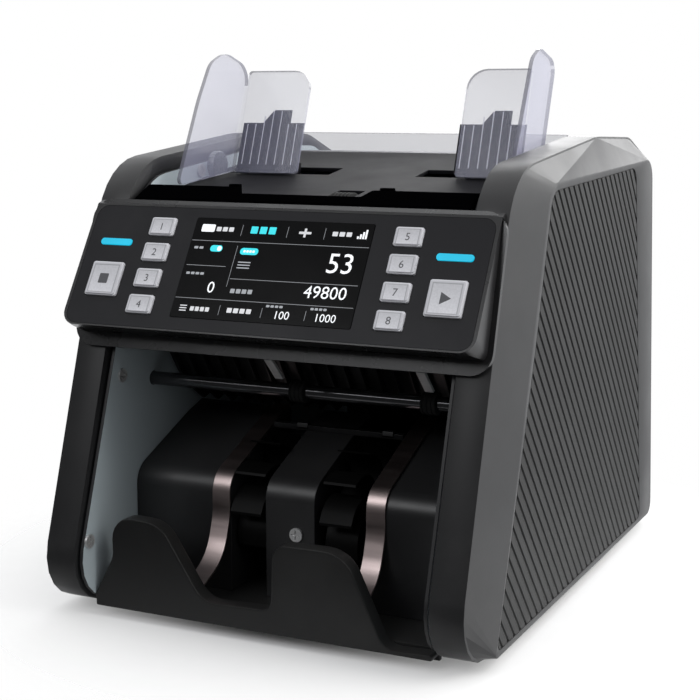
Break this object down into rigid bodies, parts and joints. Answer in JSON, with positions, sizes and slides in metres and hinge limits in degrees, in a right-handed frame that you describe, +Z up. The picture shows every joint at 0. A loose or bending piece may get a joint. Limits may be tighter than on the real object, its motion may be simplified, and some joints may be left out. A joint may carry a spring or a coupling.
{
  "type": "banknote counting machine",
  "caption": "Desktop banknote counter with a top hopper and sliding clear guides, a sloping control panel with display and keys, and a front stacker pocket with bladed wheels",
  "frame": {"origin": "centre of the footprint, on the plane the rubber feet rest on", "axes": "+Z up, +Y to the rear, +X to the right of a person facing the control panel"},
  "size_m": [0.27, 0.345, 0.3214],
  "materials": {
    "base_plastic": "moulded base tray",
    "foot_rubber": "soft rubber",
    "frame_paint": "pale painted sheet steel",
    "screw_metal": "bright steel",
    "cover_plastic": "dark grey satin plastic, finely grained",
    "rib_plastic": "dark grey ribbed plastic",
    "black_plastic": "black plastic",
    "rocker_plastic": "red rocker",
    "fence_plastic": "dark grey satin plastic",
    "bed_plastic": "black satin plastic",
    "strip_steel": "polished metal strip",
    "shaft_steel": "ground steel",
    "black_steel": "blackened steel",
    "wheel_plastic": "black flexible blades",
    "path_plastic": "black ribbed guide",
    "roller_rubber": "rubber-faced roller",
    "sensor_plastic": "clear sensor windows on a dark bar",
    "housing_plastic": "dark grey satin plastic",
    "face_plastic": "blue-black satin face",
    "screen_glass": "black display window",
    "module_metal": "plain metal can",
    "board_green": "green circuit board",
    "light_lens": "lit cyan lens",
    "floor_plastic": "dark grey hopper floor",
    "clear_plastic": "clear plastic with a faint lavender tint",
    "bracket_plastic": "black ribbed bracket",
    "motor_metal": "motor can",
    "belt_rubber": "drive belt",
    "key_plastic": "pale silver translucent key"
  },
  "bodies": {
    "machine": {"base_tray": "base_plastic", "feet": "foot_rubber", "frame_left": "frame_paint", "frame_right": "frame_paint", "screws": "screw_metal", "cover_left": "cover_plastic", "cover_right": "cover_plastic", "rib_panel_left": "rib_plastic", "rib_panel_right": "rib_plastic", "rear_cover": "cover_plastic", "power_inlet": "black_plastic", "switch_body": "black_plastic", "fence": "fence_plastic", "bed_left": "bed_plastic", "bed_middle": "bed_plastic", "bed_right": "bed_plastic", "bed_strips": "strip_steel", "exit_guide": "path_plastic", "exit_arms": "screw_metal", "sensors": "sensor_plastic", "panel_housing": "housing_plastic", "panel_face": "face_plastic", "display_glass": "screen_glass", "display_module": "module_metal", "keypad_boards": "board_green", "light_bars": "light_lens", "hopper_front": "black_plastic", "hopper_floor": "floor_plastic", "top_cover": "cover_plastic", "rear_plate": "clear_plastic", "guide_rail": "shaft_steel", "motor": "motor_metal", "drive_belt": "belt_rubber", "main_board": "board_green", "power_supply": "module_metal"},
    "stacker": {"stacker_shaft": "shaft_steel", "stacker_wheels": "wheel_plastic"},
    "exit_drive": {"exit_shaft": "black_steel", "exit_rollers": "roller_rubber"},
    "pick_drive": {"pick_shaft": "shaft_steel", "pick_roller": "roller_rubber"},
    "motor_rotor": {"motor_shaft": "shaft_steel"},
    "rocker": {"switch_rocker": "rocker_plastic"},
    "left_guide": {"guide_left": "clear_plastic", "bracket_left": "bracket_plastic"},
    "right_guide": {"guide_right": "clear_plastic", "bracket_right": "bracket_plastic"},
    "button_l1": {"key_l1": "key_plastic"},
    "button_l2": {"key_l2": "key_plastic"},
    "button_l3": {"key_l3": "key_plastic"},
    "button_l4": {"key_l4": "key_plastic"},
    "button_left_big": {"key_left_big": "key_plastic"},
    "button_r1": {"key_r1": "key_plastic"},
    "button_r2": {"key_r2": "key_plastic"},
    "button_r3": {"key_r3": "key_plastic"},
    "button_r4": {"key_r4": "key_plastic"},
    "button_right_big": {"key_right_big": "key_plastic"}
  },
  "joints": [
    {"name": "stacker_spin", "type": "hinge", "parent": "machine", "child": "stacker", "pos_m": [0, -0.08128, 0.06], "axis": [1, 0, 0], "continuous": true},
    {"name": "exit_spin", "type": "hinge", "parent": "machine", "child": "exit_drive", "pos_m": [0, -0.09536, 0.127], "axis": [1, 0, 0], "continuous": true},
    {"name": "pick_spin", "type": "hinge", "parent": "machine", "child": "pick_drive", "pos_m": [0, -0.07228, 0.22654], "axis": [1, 0, 0], "continuous": true},
    {"name": "motor_spin", "type": "hinge", "parent": "machine", "child": "motor_rotor", "pos_m": [0, 0.02172, 0.123], "axis": [1, 0, 0], "continuous": true},
    {"name": "press_l1", "type": "slide", "parent": "machine", "child": "button_l1", "axis": [0, 0.8572, -0.515], "range_m": [0, 0.0012], "stiffness_N_per_m": 1000, "springref_m": -0.0005},
    {"name": "press_l2", "type": "slide", "parent": "machine", "child": "button_l2", "axis": [0, 0.8572, -0.515], "range_m": [0, 0.0012], "stiffness_N_per_m": 1000, "springref_m": -0.0005},
    {"name": "press_l3", "type": "slide", "parent": "machine", "child": "button_l3", "axis": [0, 0.8572, -0.515], "range_m": [0, 0.0012], "stiffness_N_per_m": 1000, "springref_m": -0.0005},
    {"name": "press_l4", "type": "slide", "parent": "machine", "child": "button_l4", "axis": [0, 0.8572, -0.515], "range_m": [0, 0.0012], "stiffness_N_per_m": 1000, "springref_m": -0.0005},
    {"name": "press_left_big", "type": "slide", "parent": "machine", "child": "button_left_big", "axis": [0, 0.8572, -0.515], "range_m": [0, 0.0012], "stiffness_N_per_m": 1000, "springref_m": -0.0005},
    {"name": "press_r1", "type": "slide", "parent": "machine", "child": "button_r1", "axis": [0, 0.8572, -0.515], "range_m": [0, 0.0012], "stiffness_N_per_m": 1000, "springref_m": -0.0005},
    {"name": "press_r2", "type": "slide", "parent": "machine", "child": "button_r2", "axis": [0, 0.8572, -0.515], "range_m": [0, 0.0012], "stiffness_N_per_m": 1000, "springref_m": -0.0005},
    {"name": "press_r3", "type": "slide", "parent": "machine", "child": "button_r3", "axis": [0, 0.8572, -0.515], "range_m": [0, 0.0012], "stiffness_N_per_m": 1000, "springref_m": -0.0005},
    {"name": "press_r4", "type": "slide", "parent": "machine", "child": "button_r4", "axis": [0, 0.8572, -0.515], "range_m": [0, 0.0012], "stiffness_N_per_m": 1000, "springref_m": -0.0005},
    {"name": "press_right_big", "type": "slide", "parent": "machine", "child": "button_right_big", "axis": [0, 0.8572, -0.515], "range_m": [0, 0.0012], "stiffness_N_per_m": 1000, "springref_m": -0.0005},
    {"name": "rocker_tilt", "type": "hinge", "parent": "machine", "child": "rocker", "pos_m": [-0.028, 0.1615, 0.049], "axis": [1, 0, 0], "range_deg": [-16, 0]},
    {"name": "left_guide_slide", "type": "slide", "parent": "machine", "child": "left_guide", "axis": [1, 0, 0], "range_m": [-0.0075, 0.028]},
    {"name": "right_guide_slide", "type": "slide", "parent": "machine", "child": "right_guide", "axis": [1, 0, 0], "range_m": [-0.028, 0.0008]}
  ],
  "couplings": [
    {"joint": "exit_spin", "follows": "stacker_spin", "ratio": -1.7857},
    {"joint": "pick_spin", "follows": "stacker_spin", "ratio": 1},
    {"joint": "motor_spin", "follows": "stacker_spin", "ratio": 1.4286}
  ]
}
